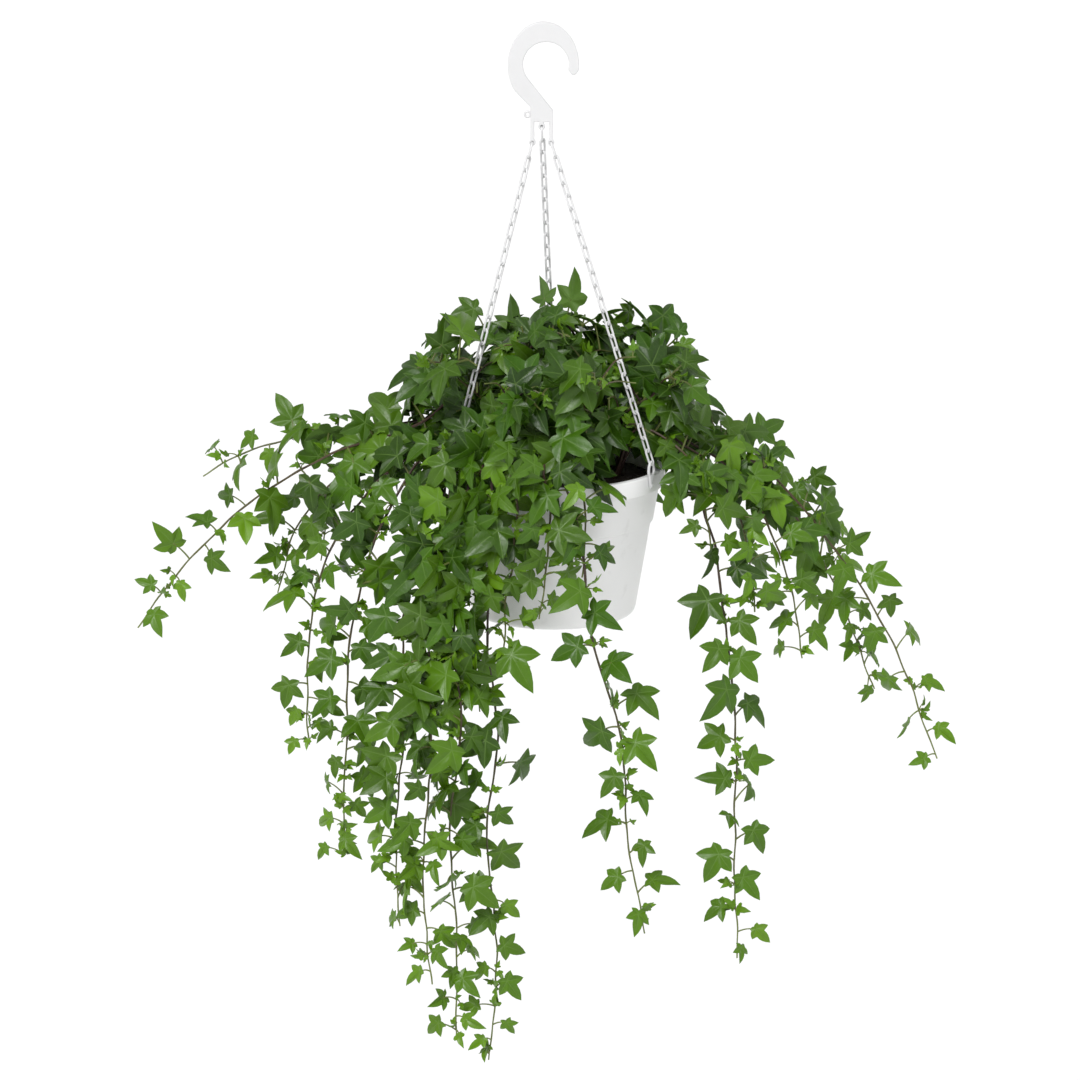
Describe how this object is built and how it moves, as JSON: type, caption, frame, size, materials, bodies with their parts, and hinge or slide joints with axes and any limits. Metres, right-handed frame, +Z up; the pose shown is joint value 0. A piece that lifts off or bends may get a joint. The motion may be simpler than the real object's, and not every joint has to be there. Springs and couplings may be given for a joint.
{
  "type": "hanging potted ivy",
  "caption": "Ivy in a tapered plastic hanging pot, with trailing leafy vines that spill over the rim, hung from chains and a flat open hook",
  "frame": {"origin": "the seat at the top inside the hook's bow, where the object hangs", "axes": "+Z up along the hanger, +X to the right and -Y towards the front of the plant"},
  "size_m": [0.785, 0.3483, 0.9195],
  "materials": {
    "pot_plastic": "satin white",
    "hanger_plastic": "satin white",
    "soil": "loose dark potting mix",
    "ivy": "waxy green leaf"
  },
  "bodies": {
    "root": {"hook": "hanger_plastic", "chain_left": "hanger_plastic", "chain_right": "hanger_plastic", "chain_back": "hanger_plastic", "rim_clip_left": "hanger_plastic", "rim_clip_right": "hanger_plastic", "rim_clip_back": "hanger_plastic", "pot": "pot_plastic", "soil": "soil", "vine_back_1": "ivy", "vine_back_2": "ivy", "vine_back_3": "ivy", "vine_back_4": "ivy", "vine_far_left": "ivy", "vine_front_1": "ivy", "vine_front_2": "ivy", "vine_front_3": "ivy", "vine_front_bare": "ivy", "vine_front_left_1": "ivy", "vine_front_left_2": "ivy", "vine_front_left_3": "ivy", "vine_front_sweep": "ivy", "vine_inner_left_1": "ivy", "vine_inner_left_2": "ivy", "vine_inner_left_3": "ivy", "vine_left_fan_1": "ivy", "vine_left_fan_2": "ivy", "vine_left_fan_3": "ivy", "vine_left_fan_4": "ivy", "vine_left_low_1": "ivy", "vine_left_low_2": "ivy", "vine_right_far_1": "ivy", "vine_right_far_2": "ivy", "vine_right_low_1": "ivy", "vine_right_low_2": "ivy", "vine_right_low_3": "ivy", "vine_right_single": "ivy", "vine_right_top_1": "ivy", "vine_right_top_2": "ivy", "vine_right_top_3": "ivy", "vine_upper_left": "ivy", "shoot_inner_1": "ivy", "shoot_inner_2": "ivy", "shoot_inner_3": "ivy", "shoot_inner_4": "ivy", "shoot_outer_1": "ivy", "shoot_outer_2": "ivy", "shoot_outer_3": "ivy", "shoot_outer_4": "ivy", "shoot_outer_5": "ivy", "shoot_outer_6": "ivy", "shoot_outer_7": "ivy", "shoot_outer_8": "ivy"}
  },
  "joints": []
}
